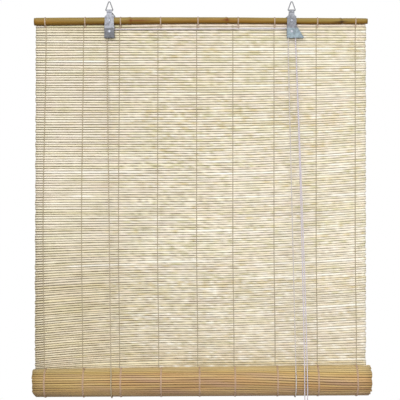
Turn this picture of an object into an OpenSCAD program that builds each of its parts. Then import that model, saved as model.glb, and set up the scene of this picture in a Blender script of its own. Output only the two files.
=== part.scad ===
// Bamboo roll-up blind, hung by two wire rings and held part way up by a cord lock.
// Millimetres, +Z up, the front faces -Y, the origin is midway between the rings' hook points.

/* [Mat] */
// Width of the mat along its splints
mat_w = 600; // [480:10:760]
// Number of splints that hang between the cane and the roll
slat_rows = 146; // [110:1:150]
// Spacing of the splints
slat_pitch = 4.4; // [4:0.02:5]
// Open gap between two splints
slat_gap = 1; // [0.9:0.05:1.3]
// Thickness of a splint
slat_t = 1.4; // [1.2:0.05:1.7]
// Most that a trimmed splint end falls short of the mat's edge
end_vary = 1.5; // [0:0.1:4]
// One joint in this many is closed, where two splints touch
closed_every = 5; // [3:1:8]
// Depth of the groove along a closed joint
groove_depth = 0.4; // [0.2:0.05:0.5]

/* [Warp threads and ties] */
// Thickness of a warp thread
thread_d = 0.8; // [0.6:0.05:1]
// Distance of the outer threads from the mat's edge
thread_edge = 19; // [14:0.5:30]
// Width of the bound strip of splints under an outer thread
bound_w = 2.4; // [1.6:0.1:3.6]
// Width of the turns of string that tie the mat to the cane
tie_w = 3; // [1.2:0.1:3.6]
// Thickness of that string
tie_t = 0.6; // [0.4:0.05:0.65]

/* [Head cane] */
// Length by which the cane stands out beyond the mat at each end
cane_over = 3; // [1:0.5:20]
// Diameter of the cane at its left, thick end
cane_d_left = 14.2; // [13:0.1:16]
// Diameter of the cane at its right, thin end
cane_d_right = 10.8; // [10:0.1:13]
// Wall of the hollow cane at its open ends
cane_wall = 2.2; // [1.6:0.1:3]
// Height of the ridge at a bamboo node
node_rise = 0.5; // [0.2:0.05:0.9]
// Length of the ridge at a bamboo node
node_l = 6; // [4:0.5:9]

/* [Roll] */
// Diameter of the rolled part
roll_d = 54; // [48:0.5:62]
// Growth of the roll's radius in one turn
turn_pitch = 2.2; // [2.1:0.05:2.8]
// Diameter of the rod at the mat's lower end, inside the roll
rod_d = 12; // [8:0.5:16]
// Slope of the roll, in degrees; it hangs lower at its left end
roll_tilt = 0.55; // [0:0.05:0.8]

/* [Rings] */
// Thickness of the ring's wire
wire_d = 2; // [1.6:0.1:2.4]
// Width of a ring between the middles of its two sides at the foot
ring_w = 12.8; // [12.6:0.1:16]
// Radius of the ring's lower corners
ring_corner = 1.4; // [1.2:0.1:1.4]
// Radius of the ring's tip
ring_tip = 1.7; // [1.4:0.1:2]
// Drop from the hook point to the eye that holds the ring
eye_drop = 15; // [14:0.1:17]

/* [Brackets] */
// Distance of a bracket from the third warp thread on the left, and the same on the right
bracket_off = 17.5; // [15:0.5:30]
// Thickness of the brackets' steel sheet
sheet_t = 1; // [0.8:0.05:1.2]
// Width of the neck below the eye
neck_w = 9.6; // [8:0.1:9.6]
// Length of the neck
neck_l = 7.6; // [6:0.1:9]
// Height of the sloping shoulders
shoulder_h = 3; // [2.4:0.1:4.4]
// Width of the plate in front of the cane
plate_w = 16.6; // [15:0.1:18]
// Width of the left bracket's foot, around its pulley
foot_w = 17.9; // [16.8:0.1:20]
// Drop from the hook point to the cane's axis
cane_drop = 32.8; // [32.6:0.1:35]
// Drop from the cane's axis to the pulley's axle
axle_drop = 19.7; // [19:0.1:21]
// Drop from the axle to the bracket's lower edge
base_drop = 11.7; // [11:0.1:12.4]
// Reach of the strap's flared shoulder behind the cane
strap_flare = 10.4; // [9:0.1:12]
// Distance of the mat's plane behind the cane's axis
mat_setback = 3.1; // [3:0.1:3.6]
// Diameter of the screw that holds a bracket to the cane
screw_d = 2.6; // [2:0.1:3.2]

/* [Pulleys and cord lock] */
// Radius of the lock's pulley at the middle of its cords
pulley_r = 6; // [5.8:0.1:6.4]
// Radius of the left pulley at the middle of its cord
left_pulley_r = 4.4; // [4.2:0.1:5]
// Height of a pulley's flange above the middle of the cord
flange_h = 1; // [0.6:0.1:1.2]
// Diameter of the axle rivet
axle_d = 3; // [2.4:0.1:3.6]
// Diameter of the serrated roller that jams the cords
roller_d = 6; // [5:0.1:6.4]
// Slope of the lock's flared side, from upright
flare_angle = 32; // [30:0.5:36]

/* [Cords] */
// Thickness of the cords
cord_d = 2; // [1.8:0.05:2.1]
// Distance of the left cord from its bracket where it passes under the roll
left_sling_off = 6.5; // [2:0.5:8]
// Distance of the right cord from its bracket where it passes under the roll
right_sling_off = 4; // [-4:0.5:6]
// Drop from the brackets' lower edge to the roll's axis when the blind is fully raised
raised_drop = 98.5; // [80:0.5:120]

/* [Hidden] */
$fn = 48;

// Clearances: a fixed fit, a pin that turns, a gap between soft pieces, a gap beside moving ones
fit = 0.05;
pin_play = 0.08;
soft_gap = 0.3;
side_play = 0.3;

wire_r = wire_d / 2;
cord_r = cord_d / 2;
thread_r = thread_d / 2;
axle_r = axle_d / 2;
screw_r = screw_d / 2;
roller_r = roller_d / 2;
cane_l = mat_w + 2 * cane_over;

// The nine threads stand at even spacing, each a little off its place as hand weaving leaves it
thread_wander = [-1, -4, -7, -7, -6, -10.5, -6, 0, 1];
thread_last = len(thread_wander) - 1;
tie_gap = 0.8;
tie_shift = bound_w / 2 + tie_gap + tie_w / 2;
function thread_x(k) =
    (k / thread_last - 0.5) * (mat_w - 2 * thread_edge) + thread_wander[k];

// Each bracket stands clear of the ties, and each lift cord hangs near its bracket
bracket_x = bracket_off - thread_x(2);
left_sling_x = left_sling_off - bracket_x;
right_sling_x = bracket_x + right_sling_off;
left_wheel_x = -bracket_x - left_pulley_r;
right_wheel_x = bracket_x - pulley_r;

// Heights of the hardware
eye_z = -eye_drop;
shoulder_z = eye_z - neck_l;
plate_z = shoulder_z - shoulder_h;
cane_z = -cane_drop;
axle_z = cane_z - axle_drop;
base_z = axle_z - base_drop;

// Depths of the hardware: the ring's plane is y = 0 and the plate runs tangent to the rolled eye
eye_r = wire_r + pin_play + sheet_t;
plate_y = -eye_r;
plate_back_y = plate_y + sheet_t;
cane_y = plate_back_y + fit + max(cane_radius(-bracket_x), cane_radius(bracket_x));
mat_y = cane_y + mat_setback;
strap_y = cane_y + cane_radius(-bracket_x) + fit;
strap_back_y = strap_y + sheet_t;

// Folds of the brackets: where the sheet leaves the eye, how far the plate laps it, and the strap's top
eye_exit_angle = -20;
plate_lap = 0.3;
strap_rise = 1.3;

// The knot that holds a lift cord behind its strap, and the cord's way down in front of the strap
knot_rise = 1.8;
knot_r = 2.4;
knot_l = 4.6;
back_off = 1.7;

// The mat, its threads and the pulley housing in front of them
cane_gap = 1.1;
slat_h = slat_pitch - slat_gap;
mat_top_z = cane_z - cane_d_left / 2 - cane_gap;
mat_base_z = mat_top_z - slat_rows * slat_pitch + slat_gap;
strand_off = slat_t / 2 + fit + thread_r;
cheek_back_y = mat_y - strand_off - thread_r - side_play;
cheek_y = cheek_back_y - sheet_t;
cheek_gap = 1;
cheek_top_z = cane_z - cane_radius(-bracket_x) - cheek_gap;
pulley_y = (plate_back_y + cheek_y) / 2;
pulley_w = cheek_y - plate_back_y - 2 * side_play;
groove_r = cord_r + 3 * fit;
rib_w = 0.3;
groove_off = groove_r + rib_w / 2;
front_groove_y = pulley_y - groove_off;
rear_groove_y = pulley_y + groove_off;

// The roll hangs in front of the mat, and its outer turn runs on from the mat's plane
roll_r = roll_d / 2;
roll_mid_r = roll_r - slat_t / 2;
roll_y = mat_y - roll_mid_r;
roll_z = mat_base_z - soft_gap;
lift = base_z - raised_drop - roll_z;
roll_groove = 0.5;
core_mid_r = rod_d / 2 + soft_gap + slat_t / 2;
roll_length = PI * (pow(roll_mid_r, 2) - pow(core_mid_r, 2)) / turn_pitch;
roll_slats = floor(roll_length / slat_pitch);
sling_r = roll_r + soft_gap + cord_r;
function axis_z(x) = roll_z + x * tan(roll_tilt);

// The splints lean towards the roll's slope, more and more the lower they hang
function lean(x, z) = x * tan(roll_tilt) * (mat_top_z - z) / (mat_top_z - mat_base_z);
function hung(x, z) = [x, z + lean(x, z)];

// Bamboo nodes along the head cane, each at its distance from a thread, and the wall across the cane there
node_x = [thread_x(2) + 19.5, thread_x(5) - 13, thread_x(7) + 43];
septum = 4;
end_chamfer = 0.5;

// The lock's roller rests between the cords and the flared side
roller_play = 0.15;
roller_x = pulley_r + cord_r + roller_play + roller_r;
roller_teeth = 16;
roller_tooth = 0.3;
lip_gap = 4;
exit_lean = 1;

// One cord is built in stretches that move apart when the blind rolls up; this is the break between two
cord_break = 0.5;

// Free cords: their way from the lock down to the roll and on to the hank, from the lock's middle
pull_front_route = from_lock([
    [7, 1.1, -65], [8.6, -3.5, -120], [10.1, -8.6, -180], [11.6, -13.7, -240], [13, -18.8, -300],
    [14.2, -23.9, -360], [15.4, -29, -420], [16.4, -34.1, -480], [17.3, -39.3, -540], [18.1, -44.3, -600],
    [18.7, -47, -650], [18.9, -47.8, -672], [19, -47.9, -682]
]);
pull_rear_route = from_lock([
    [7, 3.7, -65], [9, -1.2, -120], [11.1, -6.6, -180], [13, -12, -240], [14.9, -17.4, -300],
    [16.6, -22.8, -360], [18.2, -28.2, -420], [19.8, -33.6, -480], [21.2, -39.1, -540], [22.4, -44.3, -600],
    [23.4, -47, -650], [23.8, -47.8, -672], [24, -47.9, -682]
]);
lead_front_route = from_lock([
    [19, -47.9, -682.5], [19, -47.9, -697], [19.1, -48.3, -709], [19.8, -48.7, -715.5],
    [22, -48.9, -720], [25.5, -49, -722.4], [30, -49, -723]
]);
lead_rear_route = from_lock([
    [24, -47.9, -682.5], [24, -47.9, -700], [24, -47.5, -711], [24.4, -47.1, -717],
    [25.6, -46.9, -720.6], [27.6, -46.8, -722.5], [30, -46.8, -723]
]);
tail_front_route = from_lock([
    [50.6, -54.9, -744], [50.4, -54.2, -752], [49.5, -51.8, -762], [48.5, -49.4, -772]
]);
tail_rear_route = from_lock([
    [50.6, -40.9, -744], [50.4, -41.8, -752], [49.5, -44.4, -762], [48.5, -46.8, -772]
]);
function from_lock(route) = [for (p = route) p + [bracket_x, 0, 0]];

// The unseen length of the two cords, wound side by side into one tied hank
hank_x = bracket_x + 30;
hank_y = -47.9;
hank_z = -743.6;
hank_mean_r = 16;
hank_w = 11.2;
hank_depth = 8.2;
hank_split = 0.1;
hank_tie_w = 5;
hank_tie_t = 1.2;
hank_tie_turn = 20;
end_knot_r = 3.4;
end_knot_at = [bracket_x + 48.4, -48.1, -773.5];
end_knot_stretch = 1.2;

cane_colour = "#9C7838";
splint_colour = "#EBDFBB";
roll_colour = "#B49458";
thread_colour = "#D9CBA8";
zinc_colour = "#9EA4B6";
cord_colour = "#D2CAD4";

function cane_radius(x) =
    (cane_d_left + (cane_d_right - cane_d_left) * (x / cane_l + 0.5)) / 2;
function unit(v) = v / norm(v);
function polar(r, a) = [r * cos(a), r * sin(a)];

// The side of the sling's circle where a cord from a point above leaves it when the roll is at its highest
function leave_angle(x, y, z) =
    let (rise = z - axis_z(x) - lift, back = y - roll_y)
    atan2(rise, back) + acos(sling_r / norm([back, rise]));
function sling_point(x, a) = [x, roll_y + sling_r * cos(a), axis_z(x) + sling_r * sin(a)];

// Points of an outline whose corners are rounded
function corner_arc(a, b, c, r, steps) =
    let (u = unit(a - b), v = unit(c - b), half = acos(u * v) / 2,
         m = b + unit(u + v) * r / sin(half), p = b + u * r / tan(half) - m,
         q = b + v * r / tan(half) - m, from = atan2(p.y, p.x),
         turn = atan2(p.x * q.y - p.y * q.x, p * q))
    [for (i = [0 : steps]) m + polar(r, from + turn * i / steps)];
function rounded(outline, r, steps = 4) =
    let (n = len(outline))
    [for (i = [0 : n - 1])
        each corner_arc(outline[(i + n - 1) % n], outline[i], outline[(i + 1) % n], r, steps)];

// Outline of a string laid round two circles
function belt(c1, r1, c2, r2, steps) =
    let (d = c2 - c1, lean = atan2(d.y, d.x), spread = acos((r1 - r2) / norm(d)))
    concat(
        [for (i = [0 : steps]) c1 + polar(r1, lean + spread + (360 - 2 * spread) * i / steps)],
        [for (i = [0 : steps]) c2 + polar(r2, lean - spread + 2 * spread * i / steps)]);

// A round cord swept along points, with one radius for each point; side lies across its run
module swept(path, radii, side, sides = 8) {
    last = len(path) - 1;
    rings = [for (i = [0 : last])
        let (t = unit(path[min(i + 1, last)] - path[max(i - 1, 0)]),
             u = unit(cross(side, t)), v = cross(t, u))
        each [for (k = [0 : sides - 1])
            path[i] + radii[i] * (cos(360 * k / sides) * u + sin(360 * k / sides) * v)]];
    wall = [for (i = [0 : last - 1], k = [0 : sides - 1])
        let (a = i * sides + k, b = i * sides + (k + 1) % sides)
        each [[a, b + sides, b], [a, a + sides, b + sides]]];
    first_cap = [for (k = [0 : sides - 1]) k];
    last_cap = [for (k = [0 : sides - 1]) last * sides + sides - 1 - k];
    polyhedron(rings, concat(wall, [first_cap, last_cap]), 4);
}

module cord(path, side = [1, 0, 0]) {
    color(cord_colour)
        swept(path, [for (p = path) cord_r], side);
}

// A flat sheet whose outline lies in X and Z, between two depths
module sheet(outline, y0, y1) {
    translate([0, y1, 0])
        rotate([90, 0, 0])
            linear_extrude(height = y1 - y0)
                polygon(outline);
}

// A bar along X, centred, whose section lies in Y and Z
module bar(section, w) {
    rotate([90, 0, 90])
        linear_extrude(height = w, center = true)
            polygon(section);
}

// A round pin or bore along Y, between two depths
module along_y(x, z, r, y0, y1) {
    translate([x, y0, z])
        rotate([-90, 0, 0])
            cylinder(r = r, h = y1 - y0);
}

// A domed head on a pin along Y; its flat side is at y and its dome points to the front
module domed_head(x, z, y, r, h) {
    dome_r = (r * r + h * h) / (2 * h);
    translate([x, y, z])
        rotate([90, 0, 0])
            rotate_extrude()
                intersection() {
                    translate([0, h - dome_r])
                        circle(r = dome_r);
                    square([r, h]);
                }
}

// A bamboo cane along X: tapered, ridged at its nodes, and hollow from each end to the first node
module head_cane() {
    half = cane_l / 2;
    ridges = [for (x = node_x) each [
        [cane_radius(x), x - node_l / 2],
        [cane_radius(x) + node_rise, x - node_l / 6],
        [cane_radius(x) + node_rise, x + node_l / 12],
        [cane_radius(x) - node_rise / 3, x + node_l / 4],
        [cane_radius(x), x + node_l / 2]]];
    profile = concat(
        [[0, -half], [cane_radius(-half) - end_chamfer, -half],
         [cane_radius(-half), -half + end_chamfer]],
        ridges,
        [[cane_radius(half), half - end_chamfer], [cane_radius(half) - end_chamfer, half],
         [0, half]]);
    left_bore_end = node_x[0] - septum / 2;
    right_bore_end = node_x[2] + septum / 2;
    left_bore_r = cane_radius(left_bore_end) - cane_wall;
    right_bore_r = cane_radius(half) - cane_wall;
    color(cane_colour)
        difference() {
            translate([0, cane_y, cane_z])
                rotate([0, 90, 0])
                    difference() {
                        rotate_extrude()
                            polygon(profile);
                        translate([0, 0, -half - 1])
                            cylinder(r = left_bore_r, h = left_bore_end + half + 1);
                        translate([0, 0, right_bore_end])
                            cylinder(r = right_bore_r, h = half - right_bore_end + 1);
                    }
            for (x = [-bracket_x, bracket_x])
                along_y(x, cane_z, screw_r + fit, plate_y, strap_back_y);
        }
}

// The hanging mat: splints with free, unevenly trimmed ends, open gaps and a few closed joints
module slat_mat() {
    edge_x = thread_x(thread_last) + bound_w / 2;
    slot_x = thread_x(thread_last) - bound_w / 2;
    function top(i) = mat_top_z - i * slat_pitch;
    function reach(i, seed) = mat_w / 2 - end_vary * (0.5 + 0.5 * sin(i * 97 + i * i * 31 + seed));
    right_side = [for (i = [0 : slat_rows - 1]) each concat(
        i == 0 ? [] : [hung(edge_x, top(i))],
        [hung(reach(i, 0), top(i)), hung(reach(i, 0), top(i) - slat_h)],
        i == slat_rows - 1 ? [] : [hung(edge_x, top(i) - slat_h)])];
    left_side = [for (i = [slat_rows - 1 : -1 : 0]) each concat(
        i == slat_rows - 1 ? [] : [hung(-edge_x, top(i) - slat_h)],
        [hung(-reach(i, 140), top(i) - slat_h), hung(-reach(i, 140), top(i))],
        i == 0 ? [] : [hung(-edge_x, top(i))])];
    function slot(z) = [
        hung(-slot_x, z), hung(slot_x, z), hung(slot_x, z + slat_gap), hung(-slot_x, z + slat_gap)];
    color(splint_colour)
        difference() {
            sheet(concat(right_side, left_side), mat_y - slat_t / 2, mat_y + slat_t / 2);
            for (i = [1 : slat_rows - 1])
                if (i % closed_every != 0)
                    sheet(slot(top(i)), mat_y - slat_t, mat_y + slat_t);
                else
                    for (y = [mat_y - slat_t / 2, mat_y + slat_t / 2])
                        sheet(slot(top(i)), y - groove_depth, y + groove_depth);
        }
}

// Places a piece on the roll's sloping axis
module on_roll() {
    translate([0, roll_y, roll_z])
        rotate([0, -roll_tilt, 0])
            children();
}

// The rolled lower part: one long strip of ridged splints in a spiral, open between its turns
module roll() {
    function turn_at(k) =
        (roll_mid_r - sqrt(pow(roll_mid_r, 2) - turn_pitch * k * slat_pitch / PI)) * 360 / turn_pitch;
    function mid(s) = roll_mid_r - turn_pitch * s / 360;
    ridge = slat_gap / slat_pitch / 2;
    outer = [for (k = [0 : roll_slats - 1]) each [
        polar(mid(turn_at(k)) + slat_t / 2 - roll_groove, -turn_at(k)),
        polar(mid(turn_at(k + ridge)) + slat_t / 2, -turn_at(k + ridge)),
        polar(mid(turn_at(k + 1 - ridge)) + slat_t / 2, -turn_at(k + 1 - ridge))]];
    inner = [for (k = [roll_slats - 0.5 : -1 : 0])
        polar(mid(turn_at(k)) - slat_t / 2, -turn_at(k))];
    start = [polar(roll_mid_r - slat_t / 2, 0)];
    color(roll_colour)
        on_roll()
            bar(concat(outer, inner, start), mat_w);
}

// The round rod that weights the mat's lower end, at the heart of the roll
module bottom_rod() {
    half = mat_w / 2 - end_vary;
    color(cane_colour)
        on_roll()
            rotate([0, 90, 0])
                rotate_extrude()
                    polygon([
                        [0, -half], [rod_d / 2 - end_chamfer, -half], [rod_d / 2, -half + end_chamfer],
                        [rod_d / 2, half - end_chamfer], [rod_d / 2 - end_chamfer, half], [0, half]]);
}

// The warp threads where they run round the outer turn of the roll
module roll_threads() {
    first = 4;
    last = 344;
    steps = 34;
    ring = [for (i = [0 : steps])
        let (a = first + (last - first) * i / steps)
        polar(roll_r - turn_pitch * a / 360 + soft_gap / 2 + thread_r, -a)];
    color(thread_colour)
        on_roll()
            for (k = [0 : thread_last])
                swept([for (p = ring) [thread_x(k), p.x, p.y]], [for (p = ring) thread_r], [1, 0, 0], 6);
}

// A warp thread: one strand down each face of the mat, joined in a bight over the first splint
module warp_thread(k) {
    bight_z = mat_top_z + fit;
    strand_base_z = hung(thread_x(k), mat_base_z + slat_h).y;
    color(thread_colour)
        translate([thread_x(k), mat_y, 0])
            union() {
                for (side = [-1, 1])
                    translate([0, side * strand_off, strand_base_z])
                        cylinder(r = thread_r, h = bight_z - strand_base_z, $fn = 16);
                translate([0, 0, bight_z])
                    rotate([90, 0, 90])
                        rotate_extrude(angle = 180)
                            translate([strand_off, 0])
                                circle(r = thread_r, $fn = 16);
            }
}

// A string tied round the cane and the first splint
module cane_tie(k) {
    x = thread_x(k) + tie_shift;
    cane_at = [cane_y, cane_z];
    splint_at = [mat_y, mat_top_z - slat_h / 2];
    steps = 16;
    chord = cos(180 / steps);
    cane_in_r = (cane_radius(x - tie_w / 2) + fit) / chord;
    splint_in_r = (norm([slat_t, slat_h]) / 2 + fit) / chord;
    outer = belt(cane_at, cane_in_r + tie_t, splint_at, splint_in_r + tie_t, steps);
    inner = belt(cane_at, cane_in_r, splint_at, splint_in_r, steps);
    n = len(outer);
    color(thread_colour)
        translate([x, 0, 0])
            rotate([90, 0, 90])
                linear_extrude(height = tie_w, center = true)
                    polygon(concat(outer, inner),
                        [[for (i = [0 : n - 1]) i], [for (i = [0 : n - 1]) n + i]]);
}

// Neck and shoulders of a bracket's front plate, from the right shoulder round to the left
function plate_top() = [
    [plate_w / 2, plate_z], [neck_w / 2, shoulder_z], [neck_w / 2, eye_z - plate_lap],
    [-neck_w / 2, eye_z - plate_lap], [-neck_w / 2, shoulder_z], [-plate_w / 2, plate_z]];

// The sheet of a bracket: plate, rolled eye, strap over the cane, rear cheek, bridge between the cords
module bracket(plate_outline, cheek_outline, wheel_r, flare_side, hole_x) {
    eye_exit = [0, eye_z] + polar(eye_r - sheet_t / 2, eye_exit_angle);
    strap_top_z = shoulder_z + strap_rise;
    strap_base_z = cane_z - cane_radius(-bracket_x) - cheek_gap / 2;
    strap_meet = [strap_y + sheet_t / 2, strap_top_z - sheet_t];
    across = unit([eye_exit.y - strap_meet.y, strap_meet.x - eye_exit.x]) * sheet_t / 2;
    strap_outline = [
        [neck_w / 2, strap_top_z], [strap_flare, plate_z], [strap_flare, strap_base_z],
        [-plate_w / 2, strap_base_z], [-plate_w / 2, plate_z], [-neck_w / 2, strap_top_z]];
    corner_r = 1.2;
    bridge_w = 2 * (wheel_r - cord_r - 2 * side_play);
    color(zinc_colour)
        difference() {
            union() {
                sheet(rounded(plate_outline, corner_r), plate_y, plate_back_y);
                translate([0, 0, eye_z])
                    rotate([0, 90, 0])
                        cylinder(r = eye_r, h = neck_w, center = true);
                bar([eye_exit + across, strap_meet + across, strap_meet - across, eye_exit - across],
                    neck_w - 2 * fit);
                scale([flare_side, 1, 1])
                    sheet(rounded(strap_outline, corner_r), strap_y, strap_back_y);
                sheet(rounded(cheek_outline, corner_r), cheek_y, cheek_back_y);
                translate([-bridge_w / 2, plate_y, base_z])
                    cube([bridge_w, cheek_back_y - plate_y, sheet_t]);
                children();
            }
            translate([0, 0, eye_z])
                rotate([0, 90, 0])
                    cylinder(r = wire_r + pin_play, h = 2 * neck_w, center = true);
            along_y(0, cane_z, screw_r + fit, plate_y - 1, strap_back_y + 1);
            along_y(0, axle_z, axle_r + fit, plate_y - 1, cheek_back_y + 1);
            along_y(hole_x, knot_z(), cord_r + 2 * fit, strap_y - 1, strap_back_y + 1);
        }
}

// Height of the hole in the strap where a lift cord is knotted
function knot_z() = cane_z - cane_radius(-bracket_x) + knot_rise;

module left_bracket() {
    foot_z = cane_z - cane_radius(-bracket_x) - sheet_t;
    plate_outline = concat(
        plate_top(),
        [[-plate_w / 2, foot_z], [-foot_w / 2, foot_z - shoulder_h], [-foot_w / 2, base_z],
         [foot_w / 2, base_z], [foot_w / 2, foot_z - shoulder_h], [plate_w / 2, foot_z]]);
    cheek_outline = [
        [foot_w / 2, cheek_top_z], [-foot_w / 2, cheek_top_z], [-foot_w / 2, base_z], [foot_w / 2, base_z]];
    translate([-bracket_x, 0, 0])
        bracket(plate_outline, cheek_outline, left_pulley_r, 1, left_sling_x + bracket_x);
}

// Inner and outer face of the lock's flared side at a height
function flare_in(z) = roller_x
    + (roller_r + roller_play - (z - axle_z) * sin(flare_angle)) / cos(flare_angle);
function flare_out(z) = flare_in(z) + sheet_t / cos(flare_angle);

module right_bracket() {
    flare_reach = roller_r + roller_play + sheet_t;
    flare_z = axle_z + (flare_reach - (plate_w / 2 - roller_x) * cos(flare_angle)) / sin(flare_angle);
    plate_outline = concat(
        plate_top(),
        [[-plate_w / 2, base_z], [flare_out(base_z), base_z], [plate_w / 2, flare_z]]);
    cheek_outline = [
        [flare_out(cheek_top_z), cheek_top_z], [-plate_w / 2, cheek_top_z], [-plate_w / 2, base_z],
        [flare_out(base_z), base_z]];
    side_z = base_z + sheet_t / 2;
    side_top_z = cheek_top_z - sheet_t;
    lip_x = pulley_r + cord_r + lip_gap;
    translate([bracket_x, 0, 0])
        bracket(plate_outline, cheek_outline, pulley_r, -1, right_sling_x - bracket_x) {
            sheet([
                [flare_in(side_top_z), side_top_z], [flare_out(side_top_z), side_top_z],
                [flare_out(side_z), side_z], [flare_in(side_z), side_z]],
                plate_y + fit, cheek_back_y - fit);
            translate([lip_x, plate_y + fit, base_z])
                cube([flare_in(base_z) - lip_x, cheek_back_y - plate_y - 2 * fit, sheet_t]);
        }
}

// A triangular ring of round wire; its foot is the pin that turns in the bracket's eye
module ring() {
    foot_x = ring_w / 2 - ring_corner;
    corner_at = [foot_x, eye_z + ring_corner];
    tip_at = [0, wire_r - ring_tip];
    d = tip_at - corner_at;
    side_angle = atan2(d.y, d.x) - acos((ring_corner - ring_tip) / norm(d));
    lap = wire_r / 2;
    path = concat(
        [[foot_x - lap, 0, eye_z]],
        wire_bend(corner_at, ring_corner, -90, side_angle, 8),
        wire_bend(tip_at, ring_tip, side_angle, 180 - side_angle, 10),
        wire_bend([-foot_x, corner_at.y], ring_corner, 180 - side_angle, 270, 8),
        [[lap - foot_x, 0, eye_z]]);
    color(zinc_colour)
        union() {
            translate([-foot_x, 0, eye_z])
                rotate([0, 90, 0])
                    cylinder(r = wire_r, h = 2 * foot_x);
            swept(path, [for (p = path) wire_r - fit], [0, 1, 0], 12);
        }
}

// Points of a bend of wire in the plane of X and Z
function wire_bend(at, r, from, to, steps) =
    [for (i = [0 : steps])
        let (p = at + polar(r, from + (to - from) * i / steps))
        [p.x, 0, p.y]];

module bracket_screw(x) {
    head_r = screw_r * 1.7;
    head_h = screw_r * 1.1;
    color(zinc_colour)
        union() {
            domed_head(x, cane_z, plate_y, head_r, head_h);
            along_y(x, cane_z, screw_r, plate_y - head_h / 3, strap_back_y + sheet_t / 2);
        }
}

module axle_rivet(x) {
    head_r = axle_r * 1.7;
    head_h = axle_r * 0.8;
    rear_h = 0.6;
    color(zinc_colour)
        union() {
            domed_head(x, axle_z, plate_y, head_r, head_h);
            along_y(x, axle_z, axle_r, plate_y - head_h / 3, cheek_back_y + rear_h);
            along_y(x, axle_z, head_r * 0.9, cheek_back_y, cheek_back_y + rear_h);
        }
}

// A pulley wheel with two grooves, one for each cord
module pulley(x, wheel_r) {
    flange_r = wheel_r + flange_h;
    bore_r = axle_r + pin_play;
    color(zinc_colour)
        translate([x, pulley_y, axle_z])
            rotate([-90, 0, 0])
                rotate_extrude()
                    difference() {
                        translate([bore_r, -pulley_w / 2])
                            square([flange_r - bore_r, pulley_w]);
                        for (y = [-groove_off, groove_off])
                            translate([wheel_r, y]) {
                                circle(r = groove_r);
                                translate([0, -groove_r])
                                    square([2 * flange_h, 2 * groove_r]);
                            }
                    }
}

// The serrated roller that wedges between the flared side and the cords
module jam_roller() {
    teeth = [for (i = [0 : 2 * roller_teeth - 1])
        polar(roller_r - (i % 2) * roller_tooth, 180 * i / roller_teeth)];
    color(zinc_colour)
        translate([bracket_x + roller_x, 0, axle_z])
            sheet(teeth, plate_back_y + side_play, cheek_y - side_play);
}

// A lift cord behind the mat: knotted in the strap, then straight down to the roll
module cord_back(x) {
    path = [
        [x, strap_back_y + knot_l, knot_z()], [x, strap_back_y + 0.8 * knot_l, knot_z()],
        [x, strap_back_y + 0.35 * knot_l, knot_z()], [x, strap_back_y + 4 * fit, knot_z()],
        [x, strap_y - 0.5 * back_off, knot_z()], [x, strap_y - 0.9 * back_off, knot_z() - 0.35 * back_off],
        [x, strap_y - back_off, knot_z() - 1.4 * back_off], sling_point(x, 0)];
    radii = [0.25 * knot_r, 0.85 * knot_r, knot_r, cord_r, cord_r, cord_r, cord_r, cord_r];
    color(cord_colour)
        swept(path, radii, [1, 0, 0]);
}

// A lift cord under the roll, from its back round to where the cord leaves the roll's front
module cord_sling(x, y_up, z_up) {
    first = cord_break / sling_r * 180 / PI;
    last = 360 - leave_angle(x, y_up, z_up) - first;
    steps = 20;
    cord([for (i = [0 : steps]) sling_point(x, -first - (last - first) * i / steps)]);
}

// A lift cord in front of the mat, from the roll up through its bracket's foot to its pulley
module cord_front(x, wheel_x, groove_y) {
    cord([
        sling_point(x, leave_angle(x, groove_y, base_z)),
        [wheel_x, groove_y, base_z],
        [wheel_x, groove_y, axle_z - cord_break]]);
}

// Points round a pulley's groove, from one angle down to another
function over_pulley(x, wheel_r, y, from, to, steps) =
    [for (i = [0 : steps])
        let (p = polar(wheel_r, from + (to - from) * i / steps))
        [x + p.x, y, axle_z + p.y]];

// The left cord from its pulley across to the lock
module cross_cord() {
    cord(concat(
        over_pulley(-bracket_x, left_pulley_r, rear_groove_y, 180, 90, 8),
        over_pulley(bracket_x, pulley_r, rear_groove_y, 90, 0, 8),
        [[bracket_x + pulley_r + exit_lean, rear_groove_y, base_z]]), [0, 1, 0]);
}

// The right cord over its pulley and through the lock
module lock_cord() {
    cord(concat(
        over_pulley(bracket_x, pulley_r, front_groove_y, 180, 0, 16),
        [[bracket_x + pulley_r + exit_lean, front_groove_y, base_z]]), [0, 1, 0]);
}

// One cord's share of the hank
module hank(y) {
    in_r = hank_mean_r - hank_w / 2;
    out_r = hank_mean_r + hank_w / 2;
    half_d = hank_depth / 2;
    section = [[in_r, -half_d], [out_r, -half_d], [out_r, half_d], [in_r, half_d]];
    color(cord_colour)
        translate([hank_x, y, hank_z])
            rotate([90, 0, 0])
                rotate_extrude()
                    polygon(rounded(section, cord_r, 3));
}

module hank_tie() {
    half_w = hank_w / 2 + soft_gap;
    half_d = hank_depth + hank_split + soft_gap;
    inner = [[-half_d, -half_w], [half_d, -half_w], [half_d, half_w], [-half_d, half_w]];
    outer = [for (p = inner) [p.x + sign(p.x) * hank_tie_t, p.y + sign(p.y) * hank_tie_t]];
    color(cord_colour)
        translate([hank_x, hank_y, hank_z])
            rotate([0, hank_tie_turn, 0])
                translate([0, 0, hank_mean_r])
                    difference() {
                        bar(rounded(outer, 2 * hank_tie_t, 3), hank_tie_w);
                        bar(rounded(inner, hank_tie_t, 3), 2 * hank_tie_w);
                    }
}

// The two cord ends knotted together
module cord_end_knot() {
    path = [for (i = [-2 : 2]) end_knot_at + [0, 0, -i * end_knot_r * end_knot_stretch / 2]];
    radii = [for (i = [-2 : 2]) end_knot_r * (1 - 0.14 * i * i)];
    color(cord_colour)
        union() {
            swept(path, radii, [1, 0, 0]);
            swept(tail_front_route, [for (p = tail_front_route) cord_r], [1, 0, 0]);
            swept(tail_rear_route, [for (p = tail_rear_route) cord_r], [1, 0, 0]);
        }
}

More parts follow.
